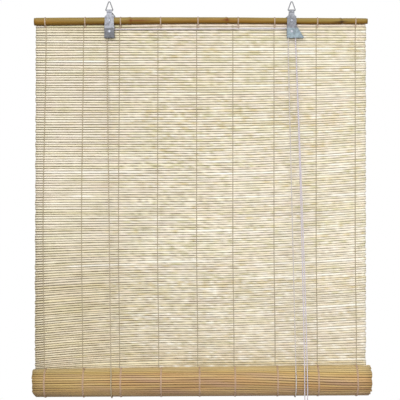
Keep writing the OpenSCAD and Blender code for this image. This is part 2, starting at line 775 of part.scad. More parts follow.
head_cane();
slat_mat();
roll();
bottom_rod();
roll_threads();
warp_thread(0);  // warp_thread_1
warp_thread(1);  // warp_thread_2
warp_thread(2);  // warp_thread_3
warp_thread(3);  // warp_thread_4
warp_thread(4);  // warp_thread_5
warp_thread(5);  // warp_thread_6
warp_thread(6);  // warp_thread_7
warp_thread(7);  // warp_thread_8
warp_thread(8);  // warp_thread_9
cane_tie(0);  // cane_tie_1
cane_tie(1);  // cane_tie_2
cane_tie(2);  // cane_tie_3
cane_tie(3);  // cane_tie_4
cane_tie(4);  // cane_tie_5
cane_tie(5);  // cane_tie_6
cane_tie(6);  // cane_tie_7
cane_tie(7);  // cane_tie_8
cane_tie(8);  // cane_tie_9
left_bracket();
right_bracket();
translate([-bracket_x, 0, 0]) ring();  // left_ring
translate([bracket_x, 0, 0]) ring();  // right_ring
bracket_screw(-bracket_x);  // left_bracket_screw
bracket_screw(bracket_x);  // right_bracket_screw
axle_rivet(-bracket_x);  // left_axle_rivet
axle_rivet(bracket_x);  // right_axle_rivet
pulley(-bracket_x, left_pulley_r);  // left_pulley
pulley(bracket_x, pulley_r);  // right_pulley
jam_roller();
cord_back(left_sling_x);  // left_cord_back
cord_sling(left_sling_x, rear_groove_y, base_z);  // left_cord_sling
cord_front(left_sling_x, left_wheel_x, rear_groove_y);  // left_cord_front
cord_back(right_sling_x);  // right_cord_back
cord_sling(right_sling_x, front_groove_y, base_z);  // right_cord_sling
cord_front(right_sling_x, right_wheel_x, front_groove_y);  // right_cord_front
cross_cord();
lock_cord();
cord(pull_front_route);  // pull_cord_front
cord(pull_rear_route);  // pull_cord_rear
cord(lead_front_route);  // cord_lead_front
cord(lead_rear_route);  // cord_lead_rear
hank(hank_y - hank_depth / 2 - hank_split / 2);  // hank_front
hank(hank_y + hank_depth / 2 + hank_split / 2);  // hank_rear
hank_tie();
cord_end_knot();
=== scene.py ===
import math
import random

import bmesh
import bpy
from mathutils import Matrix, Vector


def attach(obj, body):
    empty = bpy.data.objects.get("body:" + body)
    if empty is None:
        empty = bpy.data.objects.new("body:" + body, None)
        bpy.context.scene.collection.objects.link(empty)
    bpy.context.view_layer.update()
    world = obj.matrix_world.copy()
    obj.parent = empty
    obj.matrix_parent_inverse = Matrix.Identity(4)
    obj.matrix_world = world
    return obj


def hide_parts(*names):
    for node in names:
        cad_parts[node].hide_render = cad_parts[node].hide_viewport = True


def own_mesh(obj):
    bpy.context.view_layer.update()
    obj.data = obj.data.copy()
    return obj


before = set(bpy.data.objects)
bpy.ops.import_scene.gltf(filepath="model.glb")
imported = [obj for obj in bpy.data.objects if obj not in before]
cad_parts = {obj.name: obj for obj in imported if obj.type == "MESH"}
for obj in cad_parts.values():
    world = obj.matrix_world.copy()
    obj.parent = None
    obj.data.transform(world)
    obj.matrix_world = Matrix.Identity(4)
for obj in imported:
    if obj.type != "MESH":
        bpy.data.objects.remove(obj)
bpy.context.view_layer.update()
scene = bpy.context.scene

# Camera: straight in front of the blind and level with its middle, nearly two metres off. The
# picture is 0.727 m wide where the mat hangs, which makes a pixel of the photograph 1.8 mm.
picture_half, picture_off = 0.3636, 1.94
camera = bpy.data.objects.new("camera", bpy.data.cameras.new("camera"))
scene.collection.objects.link(camera)
camera.data.sensor_fit = "HORIZONTAL"
camera.data.angle = 2 * math.atan(picture_half / picture_off)
camera.location = (-0.0009, -1.931, -0.3576)
camera.rotation_euler = (math.pi / 2, 0, 0)
scene.camera = camera


# Pull cords: two soft braided cords, 2 mm thick, that leave the lock side by side and hang over
# the front of the roll. They are the free ends of the two lift cords.
def colour(code):
    """An sRGB hex colour as linear red, green, blue and alpha."""
    parts = [int(code[i:i + 2], 16) / 255 for i in (1, 3, 5)]
    return [c / 12.92 if c <= 0.04045 else ((c + 0.055) / 1.055) ** 2.4 for c in parts] + [1]


def add(tree, kind, settings=(), **inputs):
    """A shader node with its settings and inputs, by name or as n and a number; each is a value or a link."""
    made = tree.nodes.new("ShaderNode" + kind)
    for name, value in dict(settings).items():
        setattr(made, name, value)
    for name, value in inputs.items():
        socket = made.inputs[int(name[1:]) if name[0] == "n" and name[1:].isdigit() else name]
        if isinstance(value, bpy.types.NodeSocket):
            tree.links.new(value, socket)
        else:
            socket.default_value = value
    return made


def material(name):
    """A new material with its shader, as the material, its node tree and the shader node."""
    made = bpy.data.materials.new(name)
    made.use_nodes = True
    return made, made.node_tree, made.node_tree.nodes["Principled BSDF"]


def placed(bm, name, finish, smooth=True):
    """A mesh object at the origin with one material."""
    bmesh.ops.recalc_face_normals(bm, faces=bm.faces)
    mesh = bpy.data.meshes.new(name)
    bm.to_mesh(mesh)
    bm.free()
    mesh.materials.append(finish)
    if smooth:
        mesh.shade_smooth()
    else:
        mesh.shade_flat()
    made = bpy.data.objects.new(name, mesh)
    scene.collection.objects.link(made)
    return made


def curve_points(route, step):
    """Points along a smooth curve through a route given in millimetres, a step apart, in metres."""
    made = []
    for i in range(len(route) - 1):
        p0, p1, p2 = route[max(i - 1, 0)], route[i], route[i + 1]
        p3 = route[min(i + 2, len(route) - 1)]
        count = max(1, round(math.dist(p1, p2) / step))
        for j in range(count):
            t = j / count
            made.append([0.0005 * (2 * b + (c - a) * t + (2 * a - 5 * b + 4 * c - d) * t * t
                                   + (3 * b - a - 3 * c + d) * t ** 3)
                         for a, b, c, d in zip(p0, p1, p2, p3)])
    made.append([0.001 * c for c in route[-1]])
    return made


def tube(bm, points, radius, sides, twist=0.0, across=(1, 0, 0), closed=False):
    """A round cord along points in metres; twist is the length of one turn of its strands."""
    uv = bm.loops.layers.uv.verify()
    across = Vector(across)
    rings, run = [], 0.0
    for i, point in enumerate(points):
        here = Vector(point)
        if closed:
            ahead, behind = points[(i + 1) % len(points)], points[i - 1]
        else:
            ahead, behind = points[min(i + 1, len(points) - 1)], points[max(i - 1, 0)]
        along = (Vector(ahead) - Vector(behind)).normalized()
        u = across.cross(along).normalized()
        v = along.cross(u)
        run += (here - Vector(points[i - 1])).length if i else 0.0
        size = radius[i] if isinstance(radius, list) else radius
        ring = []
        for k in range(sides):
            a = 2 * math.pi * k / sides
            lobe = 1
            if twist:
                lobe += groove_depth * (math.cos(cord_strands * a - 2 * math.pi * run / twist) - 1)
            ring.append(bm.verts.new(here + size * lobe * (math.cos(a) * u + math.sin(a) * v)))
        rings.append((ring, run))
    pairs = list(zip(rings, rings[1:])) + ([(rings[-1], rings[0])] if closed else [])
    for (near, from_run), (far, to_run) in pairs:
        for k in range(sides):
            n = (k + 1) % sides
            face = bm.faces.new((near[k], near[n], far[n], far[k]))
            spots = ((k, from_run), (k + 1, from_run), (k + 1, to_run), (k, to_run))
            for loop, (turn, length) in zip(face.loops, spots):
                loop[uv].uv = (turn / sides, length)
    if not closed:
        bm.faces.new(rings[0][0])
        bm.faces.new(rings[-1][0])


# Braided cord, undyed: matt and pale with a lilac cast, with grooves that slant round it, painted darker as
# painted shade. They are drawn 4.5 mm apart, wider than those of a real braid, so that they show.
braid_step, cord_lay, cord_strands, groove_depth = 0.0045, 0.0135, 3, 0.08
cord_finish, tree, shader = material("braided cord")
spot = add(tree, "UVMap")
parts = add(tree, "SeparateXYZ", Vector=spot.outputs["UV"])
turns = add(tree, "Math", {"operation": "MULTIPLY"}, n0=parts.outputs["Y"], n1=1 / braid_step)
diagonal = add(tree, "Math", {"operation": "MULTIPLY_ADD"}, n0=parts.outputs["X"], n1=cord_strands,
               n2=turns.outputs[0])
wave = add(tree, "Math", {"operation": "PINGPONG"}, n0=diagonal.outputs[0], n1=0.5)
ramp = add(tree, "ValToRGB", Fac=wave.outputs[0])
# The groove colour, darker than the ridge colour below it: painted shade in the grooves.
ramp.color_ramp.elements[0].color = colour("#A89FA8")
ramp.color_ramp.elements[1].color = colour("#DAD2D8")
ramp.color_ramp.elements[1].position = 0.4
tree.links.new(ramp.outputs["Color"], shader.inputs["Base Color"])
shader.inputs["Roughness"].default_value = 0.85
shader.inputs["Specular IOR Level"].default_value = 0.2

pull_routes = {
    "front": [(172, 1.1, -65), (173.6, -3.5, -120), (175.1, -8.6, -180), (176.6, -13.7, -240),
              (178, -18.8, -300), (179.2, -23.9, -360), (180.4, -29, -420), (181.4, -34.1, -480),
              (182.3, -39.3, -540), (183.1, -44.3, -600), (183.7, -47, -650), (183.9, -47.8, -672),
              (184, -47.9, -682)],
    "rear": [(172, 3.7, -65), (174, -1.2, -120), (176.1, -6.6, -180), (178, -12, -240),
             (179.9, -17.4, -300), (181.6, -22.8, -360), (183.2, -28.2, -420), (184.8, -33.6, -480),
             (186.2, -39.1, -540), (187.4, -44.3, -600), (188.4, -47, -650), (188.8, -47.8, -672),
             (189, -47.9, -682)],
}
cord_radius, cord_sides, cord_step = 0.001, 9, 1.5
lift_range = 0.52
for name, route in pull_routes.items():
    bm = bmesh.new()
    path = curve_points(route, cord_step)
    tube(bm, path, cord_radius, cord_sides, twist=cord_lay)
    cord = placed(bm, "pull_cord_" + name, cord_finish)
    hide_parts("pull_cord_" + name)
    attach(cord, "root")
    top, foot = path[0][2], path[-1][2]
    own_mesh(cord)

# Hank: the rest of both pull cords, below the picture's edge, is wound in flat layers of four and
# a half turns side by side and tied; the two ends are knotted together below it.
lead_routes = {
    "front": [(184, -47.9, -682.5), (184, -47.9, -697), (184.1, -48.3, -709), (184.8, -48.7, -715.5),
              (187, -48.9, -720), (190.5, -49, -722.4), (195, -49, -723)],
    "rear": [(189, -47.9, -682.5), (189, -47.9, -700), (189, -47.5, -711), (189.4, -47.1, -717),
             (190.6, -46.9, -720.6), (192.6, -46.8, -722.5), (195, -46.8, -723)],
}
tail_routes = {
    "front": [(215.4, -54.9, -748), (214.9, -53.6, -756), (214.1, -51.2, -764), (213.6, -49.3, -771)],
    "rear": [(215.4, -41, -748), (214.9, -42.4, -756), (214.1, -44.8, -764), (213.6, -46.8, -771)],
}
layer_turns, layers, layer_step, turn_points = 4.5625, 4, 2.05, 60
coil_outer, coil_inner, coil_x, coil_z = 20.6, 11.4, 195, -743.6
layer_change = 0.3
knot_x, knot_y, knot_z = 0.2134, -0.0481, -0.7735
knot_radius = 0.0034
bm = bmesh.new()
bmesh.ops.create_icosphere(bm, subdivisions=4, radius=knot_radius)
for vert in bm.verts:
    fold = 0.9 + 0.1 * math.cos(2 * math.atan2(vert.co.y, vert.co.x) + 900 * vert.co.z)
    vert.co = Vector((knot_x + vert.co.x * fold, knot_y + vert.co.y * fold, knot_z + vert.co.z * 1.15))
end_knot = placed(bm, "cord_end_knot", cord_finish)
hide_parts("cord_end_knot")
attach(end_knot, "cradle")
for name, route in lead_routes.items():
    away = -1 if name == "front" else 1
    wound = []
    for i in range(1, round(layer_turns * layers * turn_points)):
        turned = i / turn_points
        layer, into = divmod(turned / layer_turns, 1)
        inward = into if layer % 2 == 0 else 1 - into
        reach = coil_outer - (coil_outer - coil_inner) * inward
        ease = min(1, max(0, (into * layer_turns - layer_turns + layer_change) / layer_change))
        depth = route[-1][1] + away * layer_step * min(layers - 1, layer + ease * ease * (3 - 2 * ease))
        angle = math.pi / 2 - 2 * math.pi * turned
        wound.append((coil_x + reach * math.cos(angle), depth, coil_z + reach * math.sin(angle)))
    path = curve_points(route + wound[8:-6] + tail_routes[name], cord_step)
    bm = bmesh.new()
    tube(bm, path, cord_radius, 8, twist=cord_lay, across=(0.05, 1, 0.02))
    hank = placed(bm, "hank_" + name, cord_finish)
    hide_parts("cord_lead_" + name, "hank_" + name)
    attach(hank, "cradle")

# Hank tie: a short length of thinner cord, wrapped three times round the hank near its top, so that
# the layers stay side by side. Each wrap leans a little more than the one before it.
wrap_deep, wrap_high, wrap_out, wrap_points = 0.0093, 0.0066, 0.016, 48
hank_y, wrap_radius = -0.0479, 0.0006
bm = bmesh.new()
for wrap in (-1, 0, 1):
    lean = math.radians(20 + 5.5 * wrap)
    loop = []
    for i in range(wrap_points):
        a = 2 * math.pi * i / wrap_points
        flat = (abs(math.cos(a)) ** 4 + abs(math.sin(a)) ** 4) ** -0.25
        deep, high = wrap_deep * math.cos(a) * flat, wrap_high * math.sin(a) * flat + wrap_out
        loop.append((coil_x / 1000 + high * math.sin(lean), hank_y + deep,
                     coil_z / 1000 + high * math.cos(lean)))
    tube(bm, loop, wrap_radius, 8, closed=True)
hank_tie = placed(bm, "hank_tie", cord_finish)
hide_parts("hank_tie")
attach(hank_tie, "cradle")

# Lift cords: each is knotted behind its bracket, runs down behind the mat, under the roll and up
# the front to its pulley. The roll slopes down to the left and thins there; the slings lie on it.
roll_y, roll_z, roll_tilt, roll_taper = -0.0175171, -0.6827, 0.0096, 0.145
roll_radius, splint_half = 0.027, 0.0007


def line_points(route, step):
    """Points along straight runs between the points of a route in millimetres, in metres."""
    made = []
    for a, b in zip(route, route[1:]):
        count = max(1, round(math.dist(a, b) / step))
        made += [[0.001 * (p + (q - p) * j / count) for p, q in zip(a, b)] for j in range(count)]
    return made + [[0.001 * c for c in route[-1]]]


def roll_middle(x):
    """Depth of the roll's middle: it thickens to the front, so that its back stays in the mat's plane."""
    return roll_y - (roll_radius - splint_half) * roll_taper * x


# Braided cord: as matt as the pull cords, a darker brown at the left and a pale, warm grey at the right; in
# both the grooves are painted darker as painted shade.
lift_finishes = {}
for side, name, groove, ridge in (("left", "brown braided cord", "#8E8068", "#C2B59C"),
                                  ("right", "pale grey braided cord", "#A79E98", "#D6CEC6")):
    lift_finish = cord_finish.copy()
    lift_finish.name = name
    lift_ramp = lift_finish.node_tree.nodes["Color Ramp"].color_ramp
    lift_ramp.elements[0].color, lift_ramp.elements[1].color = colour(groove), colour(ridge)
    lift_finishes[side] = lift_finish
axle_z, base_z, bracket_x = -0.0525, -0.0642, 0.165
strap_y, strap_knot_off, strap_knot_z, strap_knot_radius = 0.0124457, 0.003, -0.0377129, 0.0023
run_step, sling_steps, sling_off = 2, 80, 0.0013
for side, x, y, wheel_x in (("left", -0.1585, 0.0037264, -0.1694), ("right", 0.169, 0.0011264, 0.159)):
    lift_finish = lift_finishes[side]
    x_mm, y_mm, wheel_mm = 1000 * x, 1000 * y, 1000 * wheel_x
    under = roll_z + roll_tilt * x
    sling_radius = roll_radius * (1 + roll_taper * x) + sling_off
    middle = roll_middle(x)
    rise, back_off = base_z - under - lift_range, y - middle
    leave = math.atan2(rise, back_off) + math.acos(sling_radius / math.hypot(rise, back_off))

    bm = bmesh.new()
    bmesh.ops.create_icosphere(bm, subdivisions=4, radius=strap_knot_radius)
    for vert in bm.verts:
        fold = 1 + 0.12 * math.cos(3 * math.atan2(vert.co.z, vert.co.x) + 700 * vert.co.y)
        vert.co = Vector((x + vert.co.x * fold, strap_y + strap_knot_off + vert.co.y * 0.85,
                          strap_knot_z + vert.co.z * fold))
    stub = curve_points([(x_mm, 15.2, -37.7), (x_mm, 12, -37.7), (x_mm, 11.2, -38.2)], 0.4)
    tube(bm, stub, cord_radius, cord_sides)
    knot = placed(bm, side + "_cord_knot", lift_finish)
    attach(knot, "root")

    bm = bmesh.new()
    back = line_points([(x_mm, 10.9, -38.4), (x_mm, 10.8, -40.4),
                        (x_mm, 1000 * (middle + sling_radius), 1000 * under)], run_step)
    tube(bm, back, cord_radius, cord_sides, twist=cord_lay)
    run = placed(bm, side + "_cord_back", lift_finish)
    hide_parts(side + "_cord_back")
    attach(run, "root")
    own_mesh(run)

    bm = bmesh.new()
    sling = []
    for i in range(sling_steps + 1):
        a = -(2 * math.pi - leave) * i / sling_steps
        sling.append((x, middle + sling_radius * math.cos(a), under + sling_radius * math.sin(a)))
    tube(bm, sling, cord_radius, cord_sides, twist=cord_lay)
    run = placed(bm, side + "_cord_sling", lift_finish)
    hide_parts(side + "_cord_sling")
    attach(run, "cradle")

    bm = bmesh.new()
    front = line_points([(wheel_mm, y_mm, 1000 * axle_z - 0.5), (wheel_mm, y_mm, -94),
                         [1000 * c for c in sling[-1]]], run_step)
    tube(bm, front, cord_radius, cord_sides, twist=cord_lay)
    run = placed(bm, side + "_cord_front", lift_finish)
    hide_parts(side + "_cord_front")
    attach(run, "root")
    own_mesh(run)


# Cross cord and lock cord: the left cord goes over its small pulley and across in front of the mat
# to the lock, where both cords turn down over one double pulley.
def over_wheel(x, y, groove, first, last, steps):
    """Points of a cord over a pulley between two angles, in millimetres; groove is its radius there."""
    angles = [first + (last - first) * i / steps for i in range(steps + 1)]
    return [(x + groove * math.cos(a), y, 1000 * axle_z + groove * math.sin(a)) for a in angles]


rear_y, front_y, left_groove, lock_groove = 3.726, 1.126, 4.4, 6
bracket_mm = 1000 * bracket_x
cross_route = over_wheel(-bracket_mm, rear_y, left_groove, math.pi, math.pi / 2, 12)
cross_route += over_wheel(bracket_mm, rear_y, lock_groove, math.pi / 2, 0, 12) + [(172, 3.7, -64.6)]
lock_route = over_wheel(bracket_mm, front_y, lock_groove, math.pi, 0, 24) + [(172, 1.1, -64.6)]
for name, route in (("cross_cord", cross_route), ("lock_cord", lock_route)):
    bm = bmesh.new()
    tube(bm, line_points(route, run_step), cord_radius, cord_sides, twist=cord_lay, across=(0, 1, 0))
    run = placed(bm, name, cord_finish)
    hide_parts(name)
    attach(run, "root")


# Head cane: a bamboo cane, thicker at the left, varnished brown, with reddish scars at its nodes.
# It is hollow, bows slightly, and carries the whole mat by string ties.
def blended(a, b, share):
    """A colour between two linear colours."""
    return [p + (q - p) * share for p, q in zip(a, b)]


def paint(made, tones):
    """Stores a linear colour for each vertex, for a material to read."""
    layer = made.data.color_attributes.new("tone", "FLOAT_COLOR", "POINT")
    layer.data.foreach_set("color", [c for t in tones for c in t])


def grained(name, fibre_long, fibre_wide, detail, darkest, lightest, roughness, gloss):
    """A bamboo finish: each vertex's tone, streaked by fibre of a length and a width in metres."""
    made, tree, shader = material(name)
    tone = add(tree, "Attribute", {"attribute_name": "tone"})
    where = add(tree, "TexCoord")
    streak = add(tree, "Mapping", Vector=where.outputs["Object"],
                 Scale=(1 / fibre_long, 1 / fibre_wide, 1 / fibre_wide))
    grain = add(tree, "TexNoise", Vector=streak.outputs["Vector"], Scale=1.0, Detail=detail)
    shade = add(tree, "MapRange", n0=grain.outputs[0], n1=0.3, n2=0.7, n3=darkest, n4=lightest)
    coloured = add(tree, "VectorMath", {"operation": "SCALE"}, n0=tone.outputs["Color"],
                   Scale=shade.outputs[0])
    tree.links.new(coloured.outputs[0], shader.inputs["Base Color"])
    shader.inputs["Roughness"].default_value = roughness
    shader.inputs["Specular IOR Level"].default_value = gloss
    return made


def joined(bm, rings):
    """Faces between each ring of vertices and the next."""
    for near, far in zip(rings, rings[1:]):
        for k in range(len(near)):
            n = (k + 1) % len(near)
            bm.faces.new((near[k], near[n], far[n], far[k]))


def bow(x):
    """How far the cane's axis rises above a line through its brackets; its right end turns up."""
    upturn = 0.0009 * max(0, x - 0.19) / 0.1
    return 0.021 * (bracket_x ** 2 - x * x) + 0.0003 * max(0, 1 - (x / bracket_x) ** 2) + upturn


def cane_radius(x):
    """The cane's radius, with a ridge and a groove at each node and a slightly uneven taper."""
    size = 0.00625 - 0.0028 * x + 0.00006 * math.sin(40 * x) + 0.00004 * math.sin(97 * x)
    size -= 0.00025 * max(0, 1 - (x / bracket_x) ** 2)
    for at in cane_nodes:
        off = (x - at) / 0.0022
        size += 0.0005 * math.exp(-off * off) - 0.00022 * math.exp(-(off - 1.7) ** 2)
    return size


# Bamboo under a thin brown varnish: a low sheen over long streaks. The fibre is drawn 1.4 mm wide,
# coarser than it is, so that it shows.
cane_finish = grained("varnished bamboo", fibre_long=0.07, fibre_wide=0.0014, detail=5.0,
                      darkest=0.8, lightest=1.15, roughness=0.55, gloss=0.22)
green, brown, dark = colour("#847030"), colour("#865A10"), colour("#3C2104")
scar, pale = colour("#6A3602"), colour("#A08E5C")

cane_left, cane_right, cane_y, cane_z = -0.3016, 0.303, 0.0056829, -0.0328
cane_steps, cane_sides, node_step, end_round = 96, 40, 0.0011, 0.0004
cane_nodes = (-0.128, 0.04675, 0.25375)
# For each node: where it is, the middle of its scar, and the scar's length, height, width, slant and depth.
cane_scars = ((-0.128, -0.113, 0.024, -0.1, 0.35, 0.0, 0.0), (0.04675, 0.046, 0.006, 0.1, 0.35, 0.0, 0.0),
              (0.25375, 0.2535, 0.011, -0.45, 0.3, 0.2, 1.0))
cane_step = (cane_right - cane_left) / cane_steps
even_stations = {round(cane_left + i * cane_step, 6) for i in range(cane_steps + 1)}
node_stations = {round(at + j * node_step, 6) for at in cane_nodes for j in range(-5, 8)}
stations = sorted(even_stations | node_stations)
bm, tones, rings = bmesh.new(), [], []
for x in stations:
    size = cane_radius(x) - (end_round if x in (stations[0], stations[-1]) else 0)
    ring = []
    for k in range(cane_sides):
        a = 2 * math.pi * k / cane_sides
        ring.append(bm.verts.new((x, cane_y - size * math.cos(a), cane_z + bow(x) + size * math.sin(a))))
        # The skin is greener towards the top and browner below; its underside is painted darker as painted
        # shade, a band along its upper front paler as a painted highlight, and a band round it left of the
        # left bracket darker.
        mottle = 0.5 + 0.35 * math.sin(17 * x + 1) * math.cos(2 * a) - 0.25 * math.sin(a)
        base = blended(green, brown, mottle)
        base = blended(base, dark, 0.72 * max(0, -math.sin(a) - 0.1) ** 1.5)
        base = blended(base, pale, 0.5 * max(0, math.sin(a + 0.5)) ** 2)
        base = blended(base, dark, 0.16 * math.exp(-((x + 0.19) / 0.03) ** 2))
        for at, scar_x, length, height, width, slant, depth in cane_scars:
            ring_mark = 0.4 * math.exp(-((x - at - 0.002) / 0.0025) ** 2)
            along = (x - scar_x) / length
            smear = math.exp(-along ** 2 - ((math.sin(a) - height - slant * along) / width) ** 2)
            marked = min(1, ring_mark + 0.95 * smear * max(0, math.cos(a)))
            base = blended(base, blended(scar, dark, depth), marked)
        tones.append(base)
    rings.append(ring)
joined(bm, rings)
for x, ring, stop in ((cane_left, rings[0], -0.13), (cane_right, rings[-1], 0.252)):
    bore = [ring]
    for at, share in ((x, 0.64), (stop, 0.62)):
        inner = []
        for vert in ring:
            inner.append(bm.verts.new((at, cane_y + (vert.co.y - cane_y) * share,
                                       cane_z + bow(at) + (vert.co.z - cane_z - bow(x)) * share)))
            # The cut end's rim is pale, and the bore deep inside is painted darker as painted shade.
            tones.append(blended(pale, dark, 0.25 if at == x else 0.7))
        bore.append(inner)
    joined(bm, bore)
    bm.faces.new(bore[-1])
cane = placed(bm, "head_cane", cane_finish)
paint(cane, tones)
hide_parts("head_cane")
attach(cane, "root")


# Mat: thin split-bamboo splints laid edge to edge and woven together. No two are alike: their edges wander,
# so a joint is a dark line of painted shade here and closed there, and their ends are free.
def wander(rng, count, spacing):
    """Smooth random values from -1 to 1 at evenly spaced stations, with a knot every few of them."""
    knots = [rng.uniform(-1, 1) for _ in range(count // spacing + 3)]
    shift = rng.random()
    made = []
    for i in range(count):
        j, t = divmod(i / spacing + shift, 1)
        t = t * t * (3 - 2 * t)
        made.append(knots[int(j)] * (1 - t) + knots[int(j) + 1] * t)
    return made


def eased(value):
    """A smooth step from 0 to 1."""
    value = min(1, max(0, value))
    return value * value * (3 - 2 * value)


def hung(x, z):
    """How far a splint lies from level: it leans with the roll, droops lower left and rises right."""
    droop = most_droop * (max(0, -0.05 - x) / 0.25) ** 2
    droop *= eased((-0.36 - z) / 0.22) * eased((z - mat_foot) / 0.045)
    rise = most_rise * (max(0, x + 0.05) / 0.35) ** 2
    rise *= eased((mat_top - z) / 0.26) * eased((z - mat_foot) / 0.12)
    return roll_tilt * x * (mat_top - z) / (mat_top - mat_foot) - droop + rise


def row_level(j):
    """Height of the joint above a splint, counted from the top; the upper splints are a little wider."""
    share = j / rows
    return mat_top - (mat_top - mat_foot) * (share + 0.016 * math.sin(math.pi * share))


def patch(knots, u, v):
    """A smooth value between the random knots of a coarse net, at a place in it."""
    (i, s), (j, t) = divmod(u, 1), divmod(v, 1)
    s, t, over, under = eased(s), eased(t), knots[int(j)], knots[int(j) + 1]
    i = int(i)
    return (over[i] * (1 - s) + over[i + 1] * s) * (1 - t) + (under[i] * (1 - s) + under[i + 1] * s) * t


def broken(x):
    """How far the streaks along a splint are broken up: they run on at the left, not elsewhere."""
    return 0.45 + 0.55 * eased((x + 0.22) / 0.14)


# Split bamboo, bare: pale and matt, with fine streaks along it. The fibre is drawn 1.1 mm wide, coarser
# than it is, so that it shows.
splint_finish = grained("split bamboo", fibre_long=0.05, fibre_wide=0.0011, detail=4.0,
                        darkest=0.9, lightest=1.07, roughness=0.7, gloss=0.25)
cream, straw, bone, white = colour("#FEF8E6"), colour("#F4EACA"), colour("#F4EADA"), colour("#FFFBF0")
gold, sand, rose, moss = colour("#DCC994"), colour("#D3C6AE"), colour("#E8D0BA"), colour("#D2CB9C")
khaki, olive, mauve, umber = colour("#6E5F38"), colour("#625628"), colour("#746656"), colour("#4A3719")

rows, across, splint_thick, trim, highlight_rows = 149, 93, 0.0014, 0.0016, (141, 142)
mat_top, mat_foot, mat_y = -0.041, -0.6824, 0.0087829
most_droop, most_rise = 0.0115, 0.012
mat_x = [-0.3 + 0.6012 * i / (across - 1) for i in range(across)]
rng = random.Random(11)
net_wide, net_high = 26, 34
hue_net, light_net = ([[rng.uniform(-1, 1) for _ in range(net_wide)] for _ in range(net_high)]
                      for _ in range(2))

# The joints: how far each strays from its level, how dark its painted shade is at each station, and its
# colour.
joints = []
for j in range(rows + 1):
    middle, gap, dash = wander(rng, across, 10), wander(rng, across, 6), wander(rng, across, 1)
    taper = wander(rng, across, 40)
    line = blended(khaki, rng.choice((olive, mauve, khaki)), rng.random())
    usual = 0.74 + 0.2 * eased(1.5 - j / 50)
    weak = 0.05 * eased((j / rows - 0.72) / 0.2)
    joint = []
    for m, t, g, d, x in zip(middle, taper, gap, dash, mat_x):
        strength = min(1, max(0.1, usual + 0.14 * g + 0.42 * d * broken(x)))
        strength *= 1 - weak - 0.3 * eased((x + 0.2) / 0.5)
        joint.append((0.0003 * m + 0.0006 * t, strength, line))
    joints.append(joint)

bm, tones = bmesh.new(), []
for i in range(rows):
    fast, slow, hue = wander(rng, across, 1), wander(rng, across, 20), wander(rng, across, 9)
    flash, flash_long = rng.uniform(-0.35, 0.3), rng.uniform(0.05, 0.2) * (rng.random() < 0.14)
    base = blended(cream, straw, rng.random())
    base = blended(base, gold, max(0, rng.random() - 0.5))
    streak_tone = rng.choice((gold, sand, moss))
    short_left, short_right = rng.uniform(0, trim), rng.uniform(0, trim)
    rings = []
    for k in range(across):
        x = mat_x[k]
        if k == 0:
            x += short_left - trim * eased(i / 120)
        elif k == across - 1:
            x -= short_right

        # Its two edges: the splints part at their loose left ends, and the first one is bared further right.
        bared, loose = eased((x + 0.15) / 0.04), eased((-0.277 - x) / 0.012)
        ends = []
        for j, sign in ((i, -1), (i + 1, 1)):
            middle, strength, line = joints[j][k]
            edge = row_level(j) + (0.0005 + middle if j < rows else 0)
            if j == 1:
                edge += (0.0009 + 0.0007 * eased((x + 0.1) / 0.04)) * bared
            # Where the loose ends part, the joint's painted shade is full and browner.
            ends.append((edge + sign * 0.00002 + hung(x, edge), strength + (1 - strength) * loose,
                         blended(line, umber, 0.3 * loose)))
        (top, top_dark, top_line), (foot, foot_dark, foot_line) = ends
        if i == 0:
            top = max(top, cane_z + bow(x) - cane_radius(x) + 0.0004)
        tall = top - foot
        front, back = mat_y - splint_thick / 2, mat_y + splint_thick / 2
        ring = [(front + 0.0007, top), (front + 0.00012, top - 0.17 * tall), (front, top - 0.42 * tall),
                (front + 0.0001, foot + 0.22 * tall), (front + 0.0007, foot),
                (back, foot + 0.2 * tall), (back, top - 0.2 * tall)]
        rings.append([bm.verts.new((x, y, z)) for y, z in ring])

        # Its tone: patches of two tints, streaks, a lower part that is worn at the left, and pale flashes.
        face = blended(base, bone, 0.5 + 0.5 * slow[k])
        quick = fast[k] * broken(x)
        tint, glow = patch(hue_net, k / 4, i / 5), patch(light_net, k / 5, i / 6)
        tinted = min(0.5, 0.2 * abs(tint) + max(0, 0.6 * hue[k] - 0.3))
        face = blended(face, rose if tint > 0 else moss, tinted)
        face = blended(face, streak_tone, min(1, max(0, 0.9 * quick - 0.12 - 0.06 * glow)))
        worn = eased((-0.34 - top) / 0.2) * eased((-0.03 - x) / 0.2)
        lower = eased((-0.4 - top) / 0.2)
        face = blended(face, sand, 0.27 * lower * (1 - worn))
        face = blended(face, gold, 0.36 * worn + 0.35 * eased((-0.61 - top) / 0.05) * (1 - worn))
        flashed = 0.7 * eased((x - flash) / 0.02) * eased((flash + flash_long - x) / 0.02)
        paled = (0.9 + 0.4 * lower) * max(0, -quick - 0.4 + 0.05 * lower)
        face = blended(face, white, max(flashed, 0.08 * glow, paled))
        top_dark *= 1 - 0.5 * flashed
        foot_dark *= 1 - 0.2 * flashed
        if i == 0:
            inside = eased((x + 0.286) / 0.01)
            face = blended(face, moss, 0.7 * inside * (1 - bared))
            face = blended(face, rose, 0.5 * bared)
            top_dark *= 1 - 0.8 * bared
            # At the first splint's loose left end the line below it turns umber and full: painted shade in
            # the gap.
            foot_line = blended(umber, foot_line, inside)
            foot_dark += (1 - foot_dark) * eased((-0.276 - x) / 0.01)
        # Two rows just above the roll are painted paler, with weaker lines below them: a painted highlight
        # where they bulge onto the roll.
        if i in highlight_rows:
            lit = eased((x + 0.24) / 0.06) * eased((-0.02 - x) / 0.05)
            face = blended(face, straw, 0.8 * lit)
            foot_dark *= 1 - 0.6 * lit
        # The two edges and the points just inside them are darkened towards the joint lines: painted shade in
        # the joints.
        tones += [blended(face, top_line, top_dark), blended(face, top_line, (0.55 + 0.2 * worn) * top_dark),
                  face, blended(face, foot_line, (0.5 + 0.2 * worn) * foot_dark),
                  blended(face, foot_line, foot_dark), face, face]
    joined(bm, rings)
    bm.faces.new(rings[0])
    bm.faces.new(rings[-1])
mat = placed(bm, "slat_mat", splint_finish)
paint(mat, tones)
